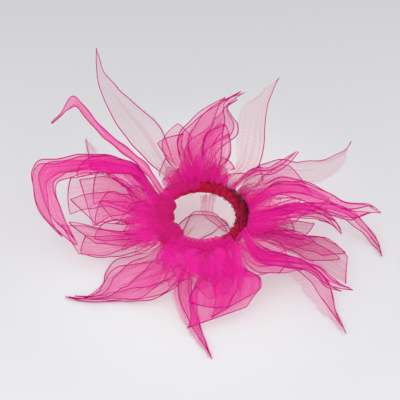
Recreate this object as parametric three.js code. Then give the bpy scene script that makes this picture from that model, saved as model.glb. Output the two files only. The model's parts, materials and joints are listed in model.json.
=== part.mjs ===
// An organza hair scrunchie: a covered elastic band that carries a crown of sheer, pointed cloth tails.
// Millimetres, +Z up. The origin is on the table, on the axis of the band.
import * as THREE from 'three';

// ---------------------------------------------------------------- driving dimensions

const BAND_INNER_DIAMETER = 48; // the hole that the hair goes through
const BAND_THICKNESS = 8.6; // across the covered elastic
const BAND_HEIGHT = 24; // from the table to the middle of the band
const CORE_DIAMETER = 3.6; // the rubber elastic inside the cover
const CORE_END_GAP = 1.2; // between the two butted ends of the elastic
const JOINER_LENGTH = 9; // the clip that holds those ends
const JOINER_WALL = 0.5;
const COVER_WALL = 1; // the crimson knitted cover
const COVER_SEAM_ANGLE = 24; // degrees of the section left open at the seam
const CLOTH = 1; // one layer of gathered organza, creases and all
const CLEARANCE = 0.5; // between pieces that touch
const BINDING_THREAD = 0.7; // diameter of the thread wound round the band
const BINDING_PITCH = 5.5; // from one turn of it to the next, along the band
const SEAM_THREAD = 0.6; // diameter of the thread that closes the cover

const bandRadius = (BAND_INNER_DIAMETER + BAND_THICKNESS) / 2;
const coverRadius = BAND_THICKNESS / 2;
const wrapRadius = coverRadius + CLEARANCE + CLOTH / 2;
const rootRadius = wrapRadius + CLOTH + CLEARANCE;
const rootAngle = THREE.MathUtils.degToRad(30);
const tableLevel = -BAND_HEIGHT;

// Where a tail is sewn to the band, seen on the band's section: tails of the upper tier leave above its
// middle, tails of the lower tier below it, frills at its middle, and under sheets from its underside.
const sewnAt = {
  upper: { reach: bandRadius + rootRadius * Math.cos(rootAngle), up: rootRadius * Math.sin(rootAngle) },
  lower: { reach: bandRadius + rootRadius * Math.cos(rootAngle), up: -rootRadius * Math.sin(rootAngle) },
  middle: { reach: bandRadius + rootRadius, up: 0 },
  under: { reach: bandRadius, up: -rootRadius },
};

// ---------------------------------------------------------------- materials

const organza = new THREE.MeshStandardMaterial({
  color: 0xdf3fa0,
  roughness: 0.45,
  metalness: 0,
  transparent: true,
  opacity: 0.55,
  side: THREE.DoubleSide,
});
const gatheredOrganza = new THREE.MeshStandardMaterial({ color: 0xe0188c, roughness: 0.5, metalness: 0 });
const crimsonKnit = new THREE.MeshStandardMaterial({ color: 0xb5123a, roughness: 0.9, metalness: 0 });
const darkThread = new THREE.MeshStandardMaterial({ color: 0x5c0a28, roughness: 0.8, metalness: 0 });
const rubber = new THREE.MeshStandardMaterial({ color: 0x2a2426, roughness: 0.7, metalness: 0 });
const steel = new THREE.MeshStandardMaterial({ color: 0xb9bbbf, roughness: 0.35, metalness: 0.9 });

const radians = THREE.MathUtils.degToRad;
const scrunchie = new THREE.Group();

function addMesh(name, geometry, material, bearing = 0) {
  const mesh = new THREE.Mesh(geometry, material);
  mesh.name = name;
  const holder = new THREE.Group();
  holder.rotation.z = radians(bearing);
  holder.position.z = BAND_HEIGHT;
  holder.add(mesh);
  scrunchie.add(holder);
}

// ---------------------------------------------------------------- geometry helpers

// A closed sheet of even thickness round the points rows[along][across] of its middle surface.
// No point of it goes below the table.
function sheetGeometry(rows, thickness) {
  const last = rows.length - 1;
  const across = rows[0].length - 1;
  const faces = { 1: [], '-1': [] };
  for (let i = 0; i <= last; i += 1) {
    for (let j = 0; j <= across; j += 1) {
      const along = rows[Math.min(i + 1, last)][j].clone().sub(rows[Math.max(i - 1, 0)][j]);
      const over = rows[i][Math.min(j + 1, across)].clone().sub(rows[i][Math.max(j - 1, 0)]);
      const normal = along.cross(over).normalize();
      for (const side of [1, -1]) {
        const point = rows[i][j].clone().addScaledVector(normal, (side * thickness) / 2);
        point.z = Math.max(point.z, tableLevel);
        faces[side].push(point);
      }
    }
  }
  const points = [...faces[1], ...faces['-1']];
  const width = across + 1;
  const under = (last + 1) * width;
  const index = [];
  const quad = (a, b, c, d) => index.push(a, b, c, a, c, d);
  for (let i = 0; i < last; i += 1) {
    for (let j = 0; j < across; j += 1) {
      const corner = i * width + j;
      quad(corner, corner + width, corner + width + 1, corner + 1);
      quad(under + corner, under + corner + 1, under + corner + width + 1, under + corner + width);
    }
    const right = i * width;
    const left = right + across;
    quad(right, under + right, under + right + width, right + width);
    quad(left, left + width, under + left + width, under + left);
  }
  for (let j = 0; j < across; j += 1) {
    const root = j;
    const tip = last * width + j;
    quad(root, root + 1, under + root + 1, under + root);
    quad(tip, under + tip, under + tip + 1, tip + 1);
  }
  const geometry = new THREE.BufferGeometry().setFromPoints(points);
  geometry.setIndex(index);
  geometry.computeVertexNormals();
  return geometry;
}

// The middle surface between two edges, each a smooth line through its points.
function surfaceBetween(rightEdge, leftEdge, along, across, belly) {
  const right = new THREE.CatmullRomCurve3(rightEdge, false, 'centripetal');
  const left = new THREE.CatmullRomCurve3(leftEdge, false, 'centripetal');
  const rows = [];
  for (let i = 0; i <= along; i += 1) {
    const start = right.getPointAt(i / along);
    const end = left.getPointAt(i / along);
    const swell = belly * Math.sin((Math.PI * i) / along);
    const row = [];
    for (let j = 0; j <= across; j += 1) {
      const point = start.clone().lerp(end, j / across);
      point.z += swell * Math.sin((Math.PI * j) / across);
      row.push(point);
    }
    rows.push(row);
  }
  return rows;
}

// A point on a circle round the band's axis, a distance to the left of the bearing that the holder faces.
function onCircle(radius, leftward, up) {
  const angle = leftward / radius;
  return new THREE.Vector3(radius * Math.cos(angle), radius * Math.sin(angle), up);
}

// A sweep of a round section along a curve.
function roundSweep(curve, radius, sides, steps) {
  const section = new THREE.Shape();
  for (let i = 0; i < sides; i += 1) {
    const angle = (2 * Math.PI * i) / sides;
    const place = [radius * Math.cos(angle), radius * Math.sin(angle)];
    if (i === 0) section.moveTo(...place);
    else section.lineTo(...place);
  }
  section.closePath();
  return new THREE.ExtrudeGeometry(section, { steps, extrudePath: curve, bevelEnabled: false });
}

// A line that runs round the band between two bearings, at a distance and a section angle that may change.
class BandLine extends THREE.Curve {
  constructor(fromBearing, toBearing, distance, sectionAngle) {
    super();
    this.from = radians(fromBearing);
    this.to = radians(toBearing);
    this.distance = distance;
    this.sectionAngle = sectionAngle;
  }

  getPoint(t, target = new THREE.Vector3()) {
    const bearing = THREE.MathUtils.lerp(this.from, this.to, t);
    const angle = this.sectionAngle(t);
    const reach = bandRadius + this.distance * Math.cos(angle);
    return target.set(
      reach * Math.cos(bearing),
      reach * Math.sin(bearing),
      this.distance * Math.sin(angle),
    );
  }
}

// ---------------------------------------------------------------- the band

const JOINER_BEARING = 200;
const coreRadius = CORE_DIAMETER / 2;

function addCore() {
  const halfGap = THREE.MathUtils.radToDeg(CORE_END_GAP / 2 / bandRadius);
  const line = new BandLine(JOINER_BEARING + halfGap, JOINER_BEARING + 360 - halfGap, 0, () => 0);
  addMesh('elastic_core', roundSweep(line, coreRadius, 8, 56), rubber);
}

function addJoiner() {
  const bore = coreRadius + CLEARANCE;
  const shell = new THREE.Shape().absarc(0, 0, bore + JOINER_WALL, 0, 2 * Math.PI);
  shell.holes.push(new THREE.Path().absarc(0, 0, bore, 0, 2 * Math.PI, true));
  const halfTurn = THREE.MathUtils.radToDeg(JOINER_LENGTH / 2 / bandRadius);
  const line = new BandLine(JOINER_BEARING - halfTurn, JOINER_BEARING + halfTurn, 0, () => 0);
  const geometry = new THREE.ExtrudeGeometry(shell, {
    steps: 3,
    curveSegments: 5,
    extrudePath: line,
    bevelEnabled: false,
  });
  addMesh('core_joiner', geometry, steel);
}

// The cover is a tube that stays open along its seam, on the band's underside.
function addCover() {
  const halfSeam = radians(COVER_SEAM_ANGLE / 2);
  const start = -Math.PI / 2 + halfSeam;
  const sweep = 2 * Math.PI - 2 * halfSeam;
  const steps = 12;
  const profile = [];
  const addArc = (radius, backwards) => {
    for (let i = 0; i <= steps; i += 1) {
      const angle = start + (sweep * (backwards ? steps - i : i)) / steps;
      profile.push(new THREE.Vector2(bandRadius + radius * Math.cos(angle), radius * Math.sin(angle)));
    }
  };
  addArc(coverRadius, false);
  addArc(coverRadius - COVER_WALL, true);
  profile.push(profile[0].clone());
  const geometry = new THREE.LatheGeometry(profile, 44);
  geometry.rotateX(Math.PI / 2);
  addMesh('band_cover', geometry, crimsonKnit);
}

// A zigzag under the seam of the cover, along part of the band.
function addSeamThread(name, fromBearing, toBearing) {
  const stitches = 14;
  const swing = radians(COVER_SEAM_ANGLE / 2);
  const distance = coverRadius + CLEARANCE + SEAM_THREAD / 2;
  const zigzag = (t) => -Math.PI / 2 + swing * Math.sin(Math.PI * stitches * t);
  const line = new BandLine(fromBearing, toBearing, distance, zigzag);
  addMesh(name, roundSweep(line, SEAM_THREAD / 2, 5, 4 * stitches), darkThread);
}

// Thread wound round the band where no wrap hides the cover.
function addBinding(name, fromBearing, toBearing) {
  const length = radians(toBearing - fromBearing) * bandRadius;
  const turns = Math.round(length / BINDING_PITCH);
  const distance = coverRadius + CLEARANCE + BINDING_THREAD / 2;
  const line = new BandLine(fromBearing, toBearing, distance, (t) => 2 * Math.PI * turns * t);
  addMesh(name, roundSweep(line, BINDING_THREAD / 2, 5, 12 * turns), darkThread);
}

// A strip of organza wrapped round the band, open on its inner underside.
function addWrap(name, fromBearing, toBearing) {
  const rows = [];
  const along = Math.round((toBearing - fromBearing) / 9);
  for (let i = 0; i <= along; i += 1) {
    const bearing = radians(THREE.MathUtils.lerp(fromBearing, toBearing, i / along));
    const row = [];
    for (let j = 0; j <= 12; j += 1) {
      const angle = radians(THREE.MathUtils.lerp(235, -50, j / 12));
      const reach = bandRadius + wrapRadius * Math.cos(angle);
      row.push(
        new THREE.Vector3(
          reach * Math.cos(bearing),
          reach * Math.sin(bearing),
          wrapRadius * Math.sin(angle),
        ),
      );
    }
    rows.push(row);
  }
  addMesh(name, sheetGeometry(rows, CLOTH), gatheredOrganza);
}

// ---------------------------------------------------------------- cloth

// The ends of a tail's root, half its gathered width to each side of its bearing.
function rootEnds(place, gather) {
  return {
    right: onCircle(place.reach, -gather / 2, place.up),
    left: onCircle(place.reach, gather / 2, place.up),
  };
}

// A tail of the upper tier. Its edges hold [out from the root, to the left, up from the band's middle].
function addUpperTail(name, { bearing, gather, right, left, along = 9, across = 4, belly = 1 }) {
  const ends = rootEnds(sewnAt.upper, gather);
  const place = ([out, leftward, up]) => new THREE.Vector3(sewnAt.upper.reach + out, leftward, up);
  const rows = surfaceBetween(
    [ends.right, ...right.map(place)],
    [ends.left, ...left.map(place)],
    along,
    across,
    belly,
  );
  addMesh(name, sheetGeometry(rows, CLOTH), organza, bearing);
}

// A tail of the lower tier, which carries the band. Its edges hold [out, to the left, height], where a
// height of 1 is level with its root and 0 lies on the table.
function addLowerTail(name, { bearing, gather, right, left, along = 9, across = 4, belly = 0 }) {
  const ends = rootEnds(sewnAt.lower, gather);
  const onTable = tableLevel + CLOTH / 2 - 0.05;
  const place = ([out, leftward, height]) =>
    new THREE.Vector3(
      sewnAt.lower.reach + out,
      leftward,
      THREE.MathUtils.lerp(onTable, sewnAt.lower.up, height),
    );
  const rows = surfaceBetween(
    [ends.right, ...right.map(place)],
    [ends.left, ...left.map(place)],
    along,
    across,
    belly,
  );
  addMesh(name, sheetGeometry(rows, CLOTH), organza, bearing);
}

// A sheet that drops from the band's underside and lies inward, below the hole. The holder faces from its
// root to the axis, and its edges hold [past the axis, to the left, height].
function addUnderSheet(name, { rootBearing, gather, right, left, along = 8, across = 4 }) {
  const onTable = tableLevel + CLOTH / 2 - 0.05;
  const root = (leftward) => {
    const point = onCircle(sewnAt.under.reach, -leftward, sewnAt.under.up);
    return new THREE.Vector3(-point.x, -point.y, point.z);
  };
  const place = ([past, leftward, height]) =>
    new THREE.Vector3(past, leftward, THREE.MathUtils.lerp(onTable, sewnAt.under.up, height));
  const rows = surfaceBetween(
    [root(-gather / 2), ...right.map(place)],
    [root(gather / 2), ...left.map(place)],
    along,
    across,
    0,
  );
  addMesh(name, sheetGeometry(rows, CLOTH), organza, rootBearing + 180);
}

// A short ruffle that stands out from the band's middle, between the two tiers.
function addFrill(name, { from, to, width, waves, wave, droop = 1.5 }) {
  const along = 3;
  const across = 6 * waves;
  const rows = [];
  for (let i = 0; i <= along; i += 1) {
    const row = [];
    for (let j = 0; j <= across; j += 1) {
      const bearing = radians(THREE.MathUtils.lerp(from, to, j / across));
      const reach = sewnAt.middle.reach + (width * i) / along;
      const ripple = wave * Math.sin((2 * Math.PI * waves * j) / across);
      const up = sewnAt.middle.up + ((ripple - droop) * i) / along;
      row.push(new THREE.Vector3(reach * Math.cos(bearing), reach * Math.sin(bearing), up));
    }
    rows.push(row);
  }
  addMesh(name, sheetGeometry(rows, CLOTH), gatheredOrganza);
}

// ---------------------------------------------------------------- assembly

addCore();
addJoiner();
addCover();
addSeamThread('seam_thread', 104, 196);
addBinding('binding_thread', -58, 86);
addWrap('wrap_left', 142, 236);
addWrap('wrap_back', 92, 136);
addWrap('wrap_front', 244, 298);

addFrill('frill_left', { from: 164, to: 220, width: 14, waves: 4, wave: 1 });
addFrill('frill_back', { from: 62, to: 130, width: 12, waves: 4, wave: 1 });
addFrill('frill_right', { from: -26, to: 40, width: 16, waves: 4, wave: 0.8 });
addFrill('frill_front', { from: 232, to: 308, width: 18, waves: 5, wave: 1 });

// Upper tier, from the right-hand side round the back to the front.
addUpperTail('right_claw', {
  bearing: 352,
  gather: 8,
  right: [[14, -3, 6], [31, 1, 9], [44, 3, 8], [54, 0, 6], [61, -7, 4]],
  left: [[14, 7, 8], [33, 11, 11], [45, 9, 10], [56, 4, 7], [63, -5, 4]],
});
addUpperTail('right_long_tail', {
  bearing: 12,
  gather: 8,
  right: [[14, -3, 10], [30, -10, 14], [47, -25, 14], [62, -36, 15], [72, -41, 20], [78, -42, 22]],
  left: [[14, 10, 12], [28, 8, 17], [46, -7, 19], [60, -25, 19], [75, -31, 21], [80, -39, 22]],
  along: 11,
});
addUpperTail('right_curved_spike', {
  bearing: 33,
  gather: 8,
  right: [[14, -4, 8], [28, -13, 9], [43, -23, 10], [57, -28, 15], [69, -26, 22], [77, -20, 28]],
  left: [[15, 8, 12], [32, 6, 13], [46, -6, 14], [60, -15, 18], [72, -18, 23], [78, -18, 28]],
  along: 11,
});
addUpperTail('upper_right_claw', {
  bearing: 47,
  gather: 4,
  right: [[6, -14, 20], [12, -24, 24], [21, -27, 26], [28, -28, 28], [36, -28, 30]],
  left: [[6, -9, 22], [11, -19, 26], [20, -23, 28], [28, -25, 30], [35, -26, 31]],
  along: 7,
  across: 2,
});
addUpperTail('back_right_spike', {
  bearing: 58,
  gather: 7,
  right: [[15, -14, 9], [29, -12, 18], [43, -5, 30], [54, -1, 37], [73, 0, 46]],
  left: [[14, 1, 10], [28, 8, 22], [41, 13, 32], [55, 9, 38], [72, 3, 46]],
});
addUpperTail('back_petal', {
  bearing: 78,
  gather: 5.4,
  right: [[-0.4, -9, 17], [1.4, -13, 28], [5.4, -12, 38], [10.4, -8, 46]],
  left: [[-0.4, 5, 17], [1.4, 7, 28], [5.4, 5, 38], [10.4, -4, 47]],
  along: 7,
});
addUpperTail('back_ruffle', {
  bearing: 92,
  gather: 9,
  right: [[9, -12, 18], [15, -28, 33], [18, -24, 43], [22, -20, 50], [26, -33, 58]],
  left: [[11, 14, 16], [16, 14, 26], [19, 6, 35], [22, -2, 42], [25, -19, 53], [28, -31, 58]],
  along: 10,
});
addUpperTail('back_left_spike', {
  bearing: 118,
  gather: 8,
  right: [[17, -4, 10], [38, -5, 22], [59, 6, 34], [83, 15, 46], [100, 13, 56]],
  left: [[33, 11, 4], [53, 20, 20], [67, 23, 34], [83, 22, 46], [99, 15, 56]],
  along: 10,
});
addUpperTail('curled_strip', {
  bearing: 143,
  gather: 6,
  right: [[16, -2, 20], [34, -2, 26], [53, -3, 31], [72, -7, 36], [86, -9, 39], [89, -1, 31], [94, 8, 22]],
  left: [[13, 4, 20], [35, 3, 25], [52, 2, 30], [70, -2, 34], [82, -4, 36], [85, 2, 29], [91, 9, 22]],
  along: 14,
  across: 2,
  belly: 0,
});
addUpperTail('left_loop', {
  bearing: 158,
  gather: 10,
  right: [
    [26, -20, 10], [52, -14, 15], [77, 3, 16], [88, 10, 15], [82, 23, 11], [72, 37, 6], [56, 48, 1],
    [38, 55, -4],
  ],
  left: [
    [20, -11, 8], [44, -3, 11], [60, 10, 12], [66, 17, 11], [63, 26, 9], [58, 31, 6], [48, 40, 1],
    [32, 50, -4],
  ],
  along: 16,
  belly: 0,
});
addUpperTail('right_hooked_tail', {
  bearing: 329,
  gather: 8,
  right: [[18, -16, 1], [36, -10, 0], [52, -2, -2], [67, -6, -5], [81, -1, -7]],
  left: [[18, -6, 4], [36, -2, 3], [54, 1, 0], [70, -1, -3], [82, 2, -6]],
  along: 10,
});
addUpperTail('bow_loop', {
  bearing: 276,
  gather: 12,
  right: [[4, -9, 9], [9, -12, 12], [15, -13, 11], [19, -11, 6], [13, -9, 4.5], [5, -7, 5]],
  left: [[4, 8, 9], [9, 11, 12], [15, 12, 11], [19, 11, 6], [13, 9, 4.5], [5, 7, 5]],
  along: 12,
  belly: 0,
});
addUpperTail('bow_end', {
  bearing: 303,
  gather: 6,
  right: [[8, -4, 9], [15, -8, 9], [22, -11, 6], [27, -12, 0], [34, -15, -6]],
  left: [[8, 2, 9], [16, -1, 9], [23, -3, 6], [28, -7, 0], [34, -13, -6]],
  along: 8,
  across: 2,
});

// Lower tier, in the same order.
addLowerTail('right_low_strand', {
  bearing: 6,
  gather: 6,
  right: [
    [21, 3, 0.8], [42, 4, 0.66], [63, 3, 0.46], [76, -7, 0.22], [84, -20, 0.02], [87, -29, 0],
  ],
  left: [[23, 9, 0.85], [45, 13, 0.71], [68, 10, 0.51], [81, -3, 0.27], [89, -17, 0.02], [90, -28, 0]],
  along: 12,
  across: 2,
});
addLowerTail('back_left_low_tail', {
  bearing: 142,
  gather: 8,
  right: [[18, -8, 0.8], [39, -20, 0.46], [60, -14, 0.22], [82, -21, 0], [95, -27, 0]],
  left: [[20, 2, 0.8], [45, -8, 0.46], [65, -1, 0.22], [86, -15, 0], [98, -24, 0]],
});
addLowerTail('left_broad_tail', {
  bearing: 174,
  gather: 10,
  right: [[15, -21, 1], [35, -32, 1.05], [47, -31, 1.08], [55, -27, 1.1]],
  left: [[13, 5, 0.85], [26, 4, 0.85], [34, 8, 0.9], [39, 11, 0.9]],
  along: 8,
  across: 6,
});
addLowerTail('left_lower_tail', {
  bearing: 196,
  gather: 8,
  right: [[12, -6, 0.8], [28, -13, 0.7], [42, -22, 0.65], [58, -29, 0.6]],
  left: [[8, 7, 0.55], [20, 6, 0.4], [36, 4, 0.36], [52, -3, 0.4]],
  along: 7,
});
addLowerTail('front_left_tail', {
  bearing: 226,
  gather: 10,
  right: [[5, -11, 0.5], [22, -26, 0.2], [34, -25, 0.06], [43, -18, 0], [58, -20, 0], [65, -31, 0]],
  left: [[4, 20, 0.46], [17, 20, 0.22], [32, 12, 0.06], [43, -1, 0], [58, -15, 0], [67, -28, 0]],
  along: 11,
  across: 5,
});
addLowerTail('front_spike', {
  bearing: 263,
  gather: 8,
  right: [[16, -12, 0.41], [31, -8, 0.17], [44, 1, 0], [57, 10, 0], [66, 18, 0]],
  left: [[9, 4, 0.56], [24, 4, 0.22], [42, 9, 0], [58, 16, 0], [66, 20.5, 0]],
});
addLowerTail('front_square_tail', {
  bearing: 291,
  gather: 9,
  right: [[12, -21, 0.71], [21, -29, 0.46], [29, -31, 0.27], [38, -37, 0.22]],
  left: [[14, 12, 0.9], [20, 16, 0.85], [27, 19, 0.71], [38, 4, 0.37]],
  along: 7,
  across: 5,
});
addLowerTail('front_right_spike', {
  bearing: 318,
  gather: 8,
  right: [[16, -6, 0.66], [34, 12, 0.41], [48, 11, 0.17], [67, 6, 0], [90, 1, 0]],
  left: [[19, 13, 0.85], [37, 24, 0.61], [57, 26, 0.27], [73, 14, 0], [92, 3, 0]],
  along: 10,
});
addLowerTail('right_grey_tail', {
  bearing: 344,
  gather: 8,
  right: [[15, -5, 0.8], [35, -7, 0.61], [54, -10, 0.41], [71, -15, 0.17]],
  left: [[15, 7, 0.95], [34, 9, 0.8], [53, 13, 0.61], [68, 6, 0.37]],
  along: 7,
});

addUnderSheet('under_sheet', {
  rootBearing: 212,
  gather: 8,
  right: [[-8, -2, 0], [-5, -6, 0], [0, -9, 0], [6, -12, 0], [12, -12, 0], [22, -4, 0]],
  left: [[-5, 20, 0], [4, 23, 0], [10, 21, 0], [17, 15, 0], [22, 11, 0], [24, 5, 0]],
});
addUnderSheet('under_strip', {
  rootBearing: 78,
  gather: 10,
  right: [[-26, -9, 0.5], [-20, -5, 0.35], [-17, 0, 0.25], [-12, 9, 0.2], [-7, 15, 0.18]],
  left: [[-28, 7, 0.5], [-24, 4, 0.35], [-20, 5, 0.25], [-15, 11, 0.2], [-10, 17, 0.18]],
  across: 2,
});

export default scrunchie;
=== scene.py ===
"""An organza hair scrunchie: a crimson covered elastic with a crown of sheer gathered tails."""

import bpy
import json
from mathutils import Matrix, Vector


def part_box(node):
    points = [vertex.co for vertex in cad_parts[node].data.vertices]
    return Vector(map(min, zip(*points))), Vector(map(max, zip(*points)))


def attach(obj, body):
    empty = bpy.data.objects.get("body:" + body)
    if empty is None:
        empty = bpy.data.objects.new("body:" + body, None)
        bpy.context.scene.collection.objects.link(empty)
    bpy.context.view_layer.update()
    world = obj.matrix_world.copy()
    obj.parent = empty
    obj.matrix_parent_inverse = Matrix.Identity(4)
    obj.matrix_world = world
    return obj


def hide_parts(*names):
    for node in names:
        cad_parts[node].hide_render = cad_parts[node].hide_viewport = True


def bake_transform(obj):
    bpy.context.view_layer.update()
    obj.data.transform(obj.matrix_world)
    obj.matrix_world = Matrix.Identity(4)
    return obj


bl_info = {
    "name": "Organza Scrunchie",
    "version": (1, 0, 0),
    "blender": (4, 5, 0),
    "location": "View3D > Sidebar > Scrunchie",
    "description": "Builds the cloth, hems, threads and band cover of an organza hair scrunchie",
    "category": "Add Mesh",
}

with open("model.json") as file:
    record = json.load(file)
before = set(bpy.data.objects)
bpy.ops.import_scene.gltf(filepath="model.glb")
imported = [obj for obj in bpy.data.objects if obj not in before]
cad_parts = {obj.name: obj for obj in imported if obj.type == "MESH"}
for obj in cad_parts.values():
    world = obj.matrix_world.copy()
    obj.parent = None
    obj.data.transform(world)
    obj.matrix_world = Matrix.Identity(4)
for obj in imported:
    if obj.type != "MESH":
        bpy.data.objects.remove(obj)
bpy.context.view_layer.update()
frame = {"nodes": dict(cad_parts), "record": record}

import json
import math

import bmesh
import bpy
import numpy as np
from mathutils import Vector, noise

MM = 0.001
TABLE_GAP = 0.4 * MM  # cloth lies this far over the table
ROOT_GAP = 0.7 * MM  # and its root this far over the band's cover
EASE = 1.02  # cloth that the hems take up
PLEATS_FADE = 20 * MM  # length over which the pleats open
CROWDING_FADE = 48 * MM  # length over which their layers thin out
EDGE_WAVE = 19 * MM  # length of one wave of a free edge
NARROWEST_CUT = 10.5 * MM
HEM_START = 11 * MM  # hems are lost in the gathers nearer to the root
LIGHT_STOPPED = 0.2  # share of the light that the yarns stop; the rest glows through them
LEAST_FACING = 0.22  # cloth seen nearly edge on covers as if it were turned this much to the eye
WRAPPED_FROM, WRAPPED_TO = 92, 300  # bearings in degrees between which the band is wrapped
# section angle in degrees where each tier is sewn down, on the bare band and on the wrapped band
SEWN_AT = {"upper": (28, 86), "middle": (8, 62), "lower": (-22, 8)}

# ---------------------------------------------------------------- sizes read from the frame

cover_low, cover_high = (np.array(corner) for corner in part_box("band_cover"))
BAND_RADIUS = (cover_high[0] - cover_low[0]) / 2 - (cover_high[2] - cover_low[2]) / 2
COVER_RADIUS = (cover_high[2] - cover_low[2]) / 2
BAND_HEIGHT = (cover_high[2] + cover_low[2]) / 2
HINGES = {joint["child"]: joint for joint in frame["record"]["behaviour"]["joints"]}


# ---------------------------------------------------------------- settings


class ScrunchieCloth(bpy.types.PropertyGroup):
    """Sizes and colours of the organza"""

    hem_diameter: bpy.props.FloatProperty(
        name="Hem", description="Thickness of a rolled hem", default=0.92 * MM, subtype="DISTANCE"
    )
    thread_diameter: bpy.props.FloatProperty(
        name="Frayed thread", description="Thickness of a loose yarn on a raw edge",
        default=0.12 * MM, subtype="DISTANCE",
    )
    flutter: bpy.props.FloatProperty(
        name="Flutter", description="How far a sheet waves out of its plane",
        default=1.1 * MM, subtype="DISTANCE",
    )
    fibre_colour: bpy.props.FloatVectorProperty(
        name="Fibre", description="Colour of the organza's yarn", size=3, subtype="COLOR",
        default=(0.90, 0.010, 0.35),
    )
    deep_colour: bpy.props.FloatVectorProperty(
        name="Gathered", description="Colour where many layers lie on each other", size=3,
        subtype="COLOR", default=(0.72, 0.006, 0.25),
    )
    hem_colour: bpy.props.FloatVectorProperty(
        name="Hem colour", description="Colour of the overlocked hem", size=3, subtype="COLOR",
        default=(0.72, 0.004, 0.27),
    )


class ScrunchieBand(bpy.types.PropertyGroup):
    """Sizes and colours of the covered elastic"""

    twist: bpy.props.IntProperty(
        name="Twists", description="Turns of the rope-like cover round the band", default=26
    )
    ridge: bpy.props.FloatProperty(
        name="Ridge", description="Depth of the twisted ridges", default=0.55 * MM, subtype="DISTANCE"
    )
    fuzz: bpy.props.IntProperty(
        name="Fuzz", description="How many loose fibres stand off the cover", default=900
    )
    knit_colour: bpy.props.FloatVectorProperty(
        name="Knit", description="Colour of the knitted cover", size=3, subtype="COLOR",
        default=(0.62, 0.006, 0.06),
    )
    # this colour is also used for the painted shade in the grooves of the cover
    shade_colour: bpy.props.FloatVectorProperty(
        name="Dark fibre", description="Colour of the dark fibres in the cover", size=3,
        subtype="COLOR", default=(0.10, 0.003, 0.02),
    )


class ScrunchieStage(bpy.types.PropertyGroup):
    """The light and the floor"""

    daylight: bpy.props.FloatProperty(name="Daylight", description="Strength of the soft dome", default=0.90)
    floor_colour: bpy.props.FloatVectorProperty(
        name="Floor", description="Colour of the floor", size=3, subtype="COLOR",
        default=(0.80, 0.803, 0.822),
    )


# ---------------------------------------------------------------- the cloth as the frame has it


def closed_grid_faces(along, across):
    """Triangles of a CAD sheet, whose points are numbered top side first and row by row."""
    width = across + 1
    under = (along + 1) * width
    faces = []

    def quad(a, b, c, d):
        faces.extend(((a, b, c), (a, c, d)))

    for i in range(along):
        for j in range(across):
            corner = i * width + j
            quad(corner, corner + width, corner + width + 1, corner + 1)
            low = under + corner
            quad(low, low + 1, low + width + 1, low + width)
        right = i * width
        left = right + across
        quad(right, under + right, under + right + width, right + width)
        quad(left, left + width, under + left + width, under + left)
    for j in range(across):
        tip = along * width + j
        quad(j, j + 1, under + j + 1, under + j)
        quad(tip, under + tip, under + tip + 1, tip + 1)
    return faces


def third_corners(faces):
    """The third corner of the triangle on each directed edge."""
    table = {}
    for a, b, c in faces:
        table[a, b] = c
        table[b, c] = a
        table[c, a] = b
    return table


def match_mesh(pattern, table, start):
    """Vertex of the mesh for each vertex of the pattern, from one matched edge, or None."""
    seed = (0, next(b for a, b in pattern if a == 0))
    found = {seed[0]: start[0], seed[1]: start[1]}
    waiting = [(seed, start)]
    done = set()
    while waiting:
        (a, b), (p, q) = waiting.pop()
        if (a, b) in done:
            continue
        done.add((a, b))
        if (a, b) not in pattern or (p, q) not in table:
            return None
        c, r = pattern[a, b], table[p, q]
        if found.setdefault(c, r) != r:
            return None
        for one, other in (((b, c), (q, r)), ((c, a), (r, p))):
            if one not in done:
                waiting.append((one, other))
                waiting.append(((one[1], one[0]), (other[1], other[0])))
        if (b, a) not in done:
            waiting.append(((b, a), (q, p)))
    return found if len(set(found.values())) == len(found) else None


def distance_to_band(points):
    """Mean distance from the points to the middle line of the band."""
    reach = np.hypot(points[:, 0], points[:, 1])
    return np.hypot(reach - BAND_RADIUS, points[:, 2] - BAND_HEIGHT).mean()


def cloth_grid(node, along, across):
    """Middle surface of a CAD sheet as points [along][across], from its root and from its right edge."""
    shell = bmesh.new()
    shell.from_mesh(frame["nodes"][node].data)
    bmesh.ops.remove_doubles(shell, verts=shell.verts, dist=2e-6)
    places = np.array([v.co[:] for v in shell.verts])
    faces = [tuple(v.index for v in f.verts) for f in shell.faces]
    shell.free()
    pattern = third_corners(closed_grid_faces(along, across))
    table = third_corners(faces)
    if len(places) != 2 * (along + 1) * (across + 1):
        raise RuntimeError(f"{node} is not a sheet of {along} by {across}: {len(places)} points")
    grids = []
    for start in table:
        found = match_mesh(pattern, table, start)
        if found is None:
            continue
        order = places[[found[k] for k in range(len(places))]]
        both = order.reshape(2, along + 1, across + 1, 3)
        grids.append(both.mean(axis=0))
    if not grids:
        raise RuntimeError(f"{node} does not follow the pattern of a sheet")
    return min(grids, key=lambda grid: distance_to_band(grid[0]))


def spline(points, count, axis, straight=0.0):
    """A smooth line through the points along one axis, at count even steps, or a straighter one."""
    p = np.moveaxis(points, axis, 0)
    last = len(p) - 1
    t = np.linspace(0, last, count + 1)
    k = np.minimum(t.astype(int), last - 1)
    u = (t - k).reshape(-1, *[1] * (p.ndim - 1))
    q = np.concatenate([[2 * p[0] - p[1]], p, [2 * p[-1] - p[-2]]])
    a, b, c, d = q[k], q[k + 1], q[k + 2], q[k + 3]
    out = 0.5 * (2 * b + (c - a) * u + (2 * a - 5 * b + 4 * c - d) * u**2 + (3 * b - a - 3 * c + d) * u**3)
    out = out * (1 - straight) + (b * (1 - u) + c * u) * straight
    return np.moveaxis(out, 0, axis)


def refine(grid, along, across, straight=0.0):
    """The sheet on a finer grid of even steps."""
    return spline(spline(grid, along, 0, straight), across, 1)


def normals_of(grid):
    """The way the sheet faces at each point."""
    along = np.gradient(grid, axis=0)
    over = np.gradient(grid, axis=1)
    normal = np.cross(along, over)
    return normal / np.maximum(np.linalg.norm(normal, axis=2, keepdims=True), 1e-12)


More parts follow.
